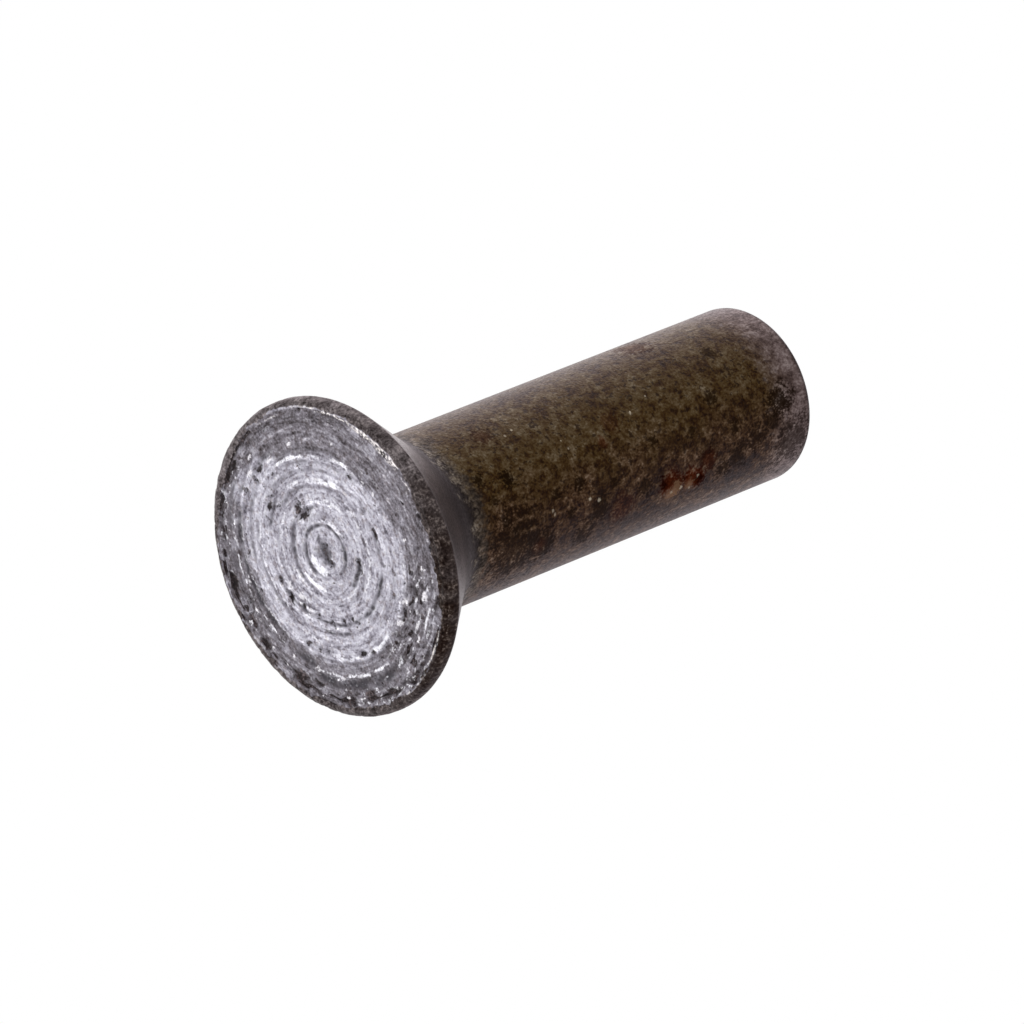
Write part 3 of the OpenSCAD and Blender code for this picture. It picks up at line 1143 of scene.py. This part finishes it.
# %% Scaled body: polished cone and crusted rim
NECK_LINE = 3.7
NECK_SPECKS = [(0.38, "#211a14"), (0.47, "#3c342d"), (0.55, "#534a42"), (0.66, "#7c746b")]
POLISHED = [(0.34, "#15100e"), (0.45, "#2c2422"), (0.55, "#3b3331"), (0.66, "#5a5151")]

neck_wave = height_mm
for value in (mottle, mottle, clouds):
    neck_wave = node(tree, "Math", {0: neck_wave, 1: value})
past_neck = {0: neck_wave, 1: NECK_LINE + 1.6, 2: NECK_LINE + 2.3}
above_neck = node(tree, "MapRange", past_neck, **SMOOTH)
on_rim = {0: height_mm, 1: RIM_HEIGHT - 0.08, 2: RIM_HEIGHT + 0.02, 3: 1, 4: 0}
below_cone = node(tree, "MapRange", on_rim, **SMOOTH)
smoothed = 0.0
for value, weight in ((speckle, 0.6), (mottle, 0.3), (clouds, 0.3), (0.5, -0.2)):
    smoothed = node(tree, "Math", {0: value, 1: weight, 2: smoothed}, operation="MULTIPLY_ADD")
die_polish = node(tree, "ValToRGB", {0: smoothed}, stops=POLISHED)
upper_cone = node(tree, "MapRange", {0: height_mm, 1: 1.8, 2: 3.0, 4: 0.7}, **SMOOTH)
# The upper cone, towards the neck, is painted darker: painted shade that holds down the reflection
# of the top softbox in the die polish there
shaded_above = {0: upper_cone, FIRST: die_polish, SECOND: "#130e0d"}
die_polish = node(tree, "Mix", shaded_above, data_type="RGBA")
specked = node(tree, "ValToRGB", {0: tone}, stops=NECK_SPECKS)
in_neck = node(tree, "MapRange", {0: neck_wave, 1: NECK_LINE + 1.3, 2: NECK_LINE + 1.7}, **SMOOTH)
die_polish = node(tree, "Mix", {0: in_neck, FIRST: die_polish, SECOND: specked}, data_type="RGBA")
colour = node(tree, "Mix", {0: above_neck, FIRST: die_polish, SECOND: colour}, data_type="RGBA")
lumps = 0.0
for value, weight in ((speckle, 0.45), (mottle, 0.55)):
    lumps = node(tree, "Math", {0: value, 1: weight, 2: lumps}, operation="MULTIPLY_ADD")
black_crust = node(tree, "ValToRGB", {0: lumps}, stops=CRUST_DARK)
pale_crust = node(tree, "ValToRGB", {0: lumps}, stops=CRUST_PALE)
greyed_and_lit = node(tree, "Attribute", attribute_name="greyed_and_lit").outputs["Fac"]
# The crust is painted paler towards the top softbox and darker on the far side
crust = node(tree, "Mix", {0: greyed_and_lit, FIRST: black_crust, SECOND: pale_crust}, data_type="RGBA")
colour = node(tree, "Mix", {0: below_cone, FIRST: colour, SECOND: crust}, data_type="RGBA")
print("nodes so far:", len(tree.nodes))

# %% Scaled body: gloss and bump
SCALE_BUMP = 0.015

free_skin = node(tree, "Math", {0: in_neck, 1: below_cone}, operation="MAXIMUM")
matt = node(tree, "MapRange", {0: speckle, 1: 0.3, 2: 0.7, 3: 0.52, 4: 0.38}, **SMOOTH)
smoother = node(tree, "MapRange", {0: free_skin, 3: 0.85, 4: 1})
roughness = node(tree, "Math", {0: matt, 1: smoother}, operation="MULTIPLY")
on_neck = node(tree, "Math", {0: upper_cone, 1: above_neck}, operation="SUBTRACT", use_clamp=True)
for share in (below_cone, on_neck):
    roughness = node(tree, "Math", {0: share, 1: 0.12, 2: roughness}, operation="MULTIPLY_ADD")
lumpy = node(tree, "Math", {0: speckle, 1: 0.8, 2: mottle}, operation="MULTIPLY_ADD")
flatter = node(tree, "MapRange", {0: free_skin, 3: 0.3, 4: 1.1})
raised = node(tree, "Math", {0: lumpy, 1: flatter}, operation="MULTIPLY")
relief = node(tree, "Bump", {"Height": raised, "Distance": SCALE_BUMP * MM})
# Scale still glints like metal, but rust and soot are earthy and have no gloss of their own
metallic = node(tree, "MapRange", {0: earthy, 3: 1, 4: 0})
shader.inputs["Specular IOR Level"].default_value = 0.0
shader.inputs["Specular Tint"].default_value = linear("#fff8fb")
finish = {"Base Color": colour, "Roughness": roughness, "Normal": relief, "Metallic": metallic}
drive(tree, shader, finish)

# %% [markdown]
# ### The sheared end
#
# The wire is sheared to length before heading. The cut is dull grey with faint lines, and brown
# scale has grown over it.

# %% Sheared end
tree, shader, place = new_material("sheared_steel")
# Sizes of the patterns in mm
SHEAR_LINE, CUT_PATCH, CUT_GRAIN = 0.1, 0.7, 0.12
CUT = [(0.34, "#2f2928"), (0.46, "#4a4341"), (0.56, "#5c5452"), (0.68, "#8b8380")]
CUT_BUMP = 0.02

lines = node(tree, "VectorMath", {0: place, 1: (1.0, 0.15, 1.0)}, operation="MULTIPLY")
noises = []
for where, grain, detail, seed in (
    (lines, SHEAR_LINE, 3, 3),
    (place, CUT_PATCH, 4, 6),
    (place, CUT_GRAIN, 3, 8),
):
    moved = node(tree, "VectorMath", {0: where, 1: (seed, seed * 2, seed * 3)})
    settings = {"Vector": moved, "Scale": 1 / grain, "Detail": detail, "Roughness": 0.6}
    noises.append(node(tree, "TexNoise", settings))
shear, mottle, speckle = noises
tone = 0.0
for value, weight in ((shear, 0.45), (speckle, 0.55)):
    tone = node(tree, "Math", {0: value, 1: weight, 2: tone}, operation="MULTIPLY_ADD")
cut = node(tree, "ValToRGB", {0: tone}, stops=CUT)
scale = node(tree, "ValToRGB", {0: tone}, stops=SKIN)
overgrown = node(tree, "MapRange", {0: mottle, 1: 0.35, 2: 0.65, 4: 0.9}, **SMOOTH)
colour = node(tree, "Mix", {0: overgrown, FIRST: cut, SECOND: scale}, data_type="RGBA")
roughness = node(tree, "MapRange", {0: mottle, 1: 0.3, 2: 0.7, 3: 0.38, 4: 0.52}, **SMOOTH)
relief = node(tree, "Bump", {"Height": tone, "Distance": CUT_BUMP * MM})
shader.inputs["Metallic"].default_value = 1.0
drive(tree, shader, {"Base Color": colour, "Roughness": roughness, "Normal": relief})

# %% Each face of the mesh takes its finish
FACE_SLOT, BODY_SLOT, END_SLOT = 0, 1, 2
# Up to this height the face's finish runs round its edge, and from here up the end's does
FACE_FINISH_TOP = FACE_EDGE_R * 0.3
END_FINISH_BOTTOM = LENGTH - 0.05
END_FINISH_R = end_flat_r + 0.2

flat_centres = np.empty(len(rivet.data.polygons) * 3, np.float32)
rivet.data.polygons.foreach_get("center", flat_centres)
centres = flat_centres.reshape(-1, 3) / MM
centre_height = centres[:, 2]
centre_from_axis = np.hypot(centres[:, 0], centres[:, 1])
slots = np.full(len(centres), BODY_SLOT)
slots[centre_height < FACE_FINISH_TOP] = FACE_SLOT
slots[(centre_height > END_FINISH_BOTTOM) & (centre_from_axis < END_FINISH_R)] = END_SLOT
rivet.data.polygons.foreach_set("material_index", slots.astype(np.int32))
rivet.data.update()
bpy.ops.object.select_all(action="DESELECT")
rivet.select_set(True)
bpy.context.view_layer.objects.active = rivet
bpy.ops.object.shade_smooth()
print("faces in each finish:", np.bincount(slots).tolist())

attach(rivet, "root")
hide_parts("rivet")

# %% [markdown]
# ## Floor, world and lamps
#
# A white floor fades into a white room, as in a light tent. The floor is seen from above only, so
# that the camera can look at the face from below, as through a sheet of glass. Shiny metal shows
# what is around it, so the room is white in reflections too. It lights the rivet at a plain level.

# %% World
ROOM_LIGHT = 0.6
WHITE = 1.0

world = bpy.data.worlds.new("light_tent")
bpy.context.scene.world = world
world.use_nodes = True
tree = world.node_tree
tree.nodes.clear()
path = node(tree, "LightPath").outputs
seen = node(tree, "Math", {0: path["Is Camera Ray"], 1: path["Is Glossy Ray"]}, operation="MAXIMUM")
seen = node(tree, "Math", {0: seen, 1: path["Is Transmission Ray"]}, operation="MAXIMUM")
room = node(tree, "Background", {"Color": "#ffffff", "Strength": ROOM_LIGHT})
backdrop = node(tree, "Background", {"Color": "#ffffff", "Strength": WHITE})
mixed = node(tree, "MixShader", {0: seen, 1: room, 2: backdrop})
node(tree, "OutputWorld", {"Surface": mixed})
print("room light:", ROOM_LIGHT, "and white behind:", WHITE)

# %% Floor
FLOOR_R, FLOOR_DROP = 300, 0.02

bpy.ops.object.select_all(action="DESELECT")
bpy.ops.mesh.primitive_circle_add(
    vertices=96, radius=FLOOR_R * MM, fill_type="NGON", location=(0, 0, -FLOOR_DROP * MM)
)
floor = start_piece("floor")
floor.visible_diffuse = False
floor.visible_glossy = False
floor.visible_transmission = False
floor.visible_shadow = False
print("floor across:", 2 * FLOOR_R, "mm")

# %% White paper on the floor
# The sheet is lit to a light grey, so what the camera sees is lifted to white, shadow and all
LIFT = 0.22
# How far out from the middle, in mm, the sheet fades away
FADE_START, FADE_END = 25, 140

paper = bpy.data.materials.new("white_paper")
paper.use_nodes = True
tree = paper.node_tree
tree.nodes.clear()
coordinates = node(tree, "TexCoord").outputs["Object"]
distance = node(tree, "VectorMath", {0: coordinates}, operation="LENGTH")
fade = node(tree, "MapRange", {0: distance, 1: FADE_START * MM, 2: FADE_END * MM}, **SMOOTH)
behind = node(tree, "NewGeometry").outputs["Backfacing"]
unseen = node(tree, "Math", {0: fade, 1: behind}, operation="MAXIMUM")
camera_ray = node(tree, "LightPath").outputs["Is Camera Ray"]
lifted = node(tree, "Math", {0: camera_ray, 1: LIFT}, operation="MULTIPLY")
glow = node(tree, "Emission", {"Color": "#ffffff", "Strength": lifted})
sheet = node(tree, "AddShader", {0: node(tree, "BsdfDiffuse", {"Color": "#fbfbfb"}), 1: glow})
clear = node(tree, "BsdfTransparent")
mixed = node(tree, "MixShader", {0: unseen, 1: sheet, 2: clear})
node(tree, "OutputMaterial", {"Surface": mixed})
floor.data.materials.append(paper)
print("paper fades from", FADE_START, "to", FADE_END, "mm")

# %% Lamps
# Name, direction from the rivet, distance and side in mm, and radiance
LAMPS = [
    ("top_softbox", (-0.61, 0.38, 0.69), 350, 420, 0.85),
    ("low_glint", (-0.19, 0.5, -0.84), 300, 80, 2.2),
    ("far_glint", (0.14, 0.9, -0.41), 300, 80, 2.2),
]
for name, direction, distance, side, radiance in LAMPS:
    towards = Vector(direction).normalized()
    lamp = bpy.data.lights.new(name, "AREA")
    lamp.shape = "SQUARE"
    lamp.size = side * MM
    lamp.energy = radiance * math.pi * (side * MM) ** 2
    softbox = bpy.data.objects.new(name, lamp)
    softbox.location = CAMERA_AIM + towards * distance * MM
    softbox.rotation_mode = "QUATERNION"
    softbox.rotation_quaternion = towards.to_track_quat("Z", "Y")
    bpy.context.scene.collection.objects.link(softbox)
    print(name, "power", round(lamp.energy, 3), "W")

# %% Finish
scene = bpy.context.scene
scene.view_settings.view_transform = "Standard"
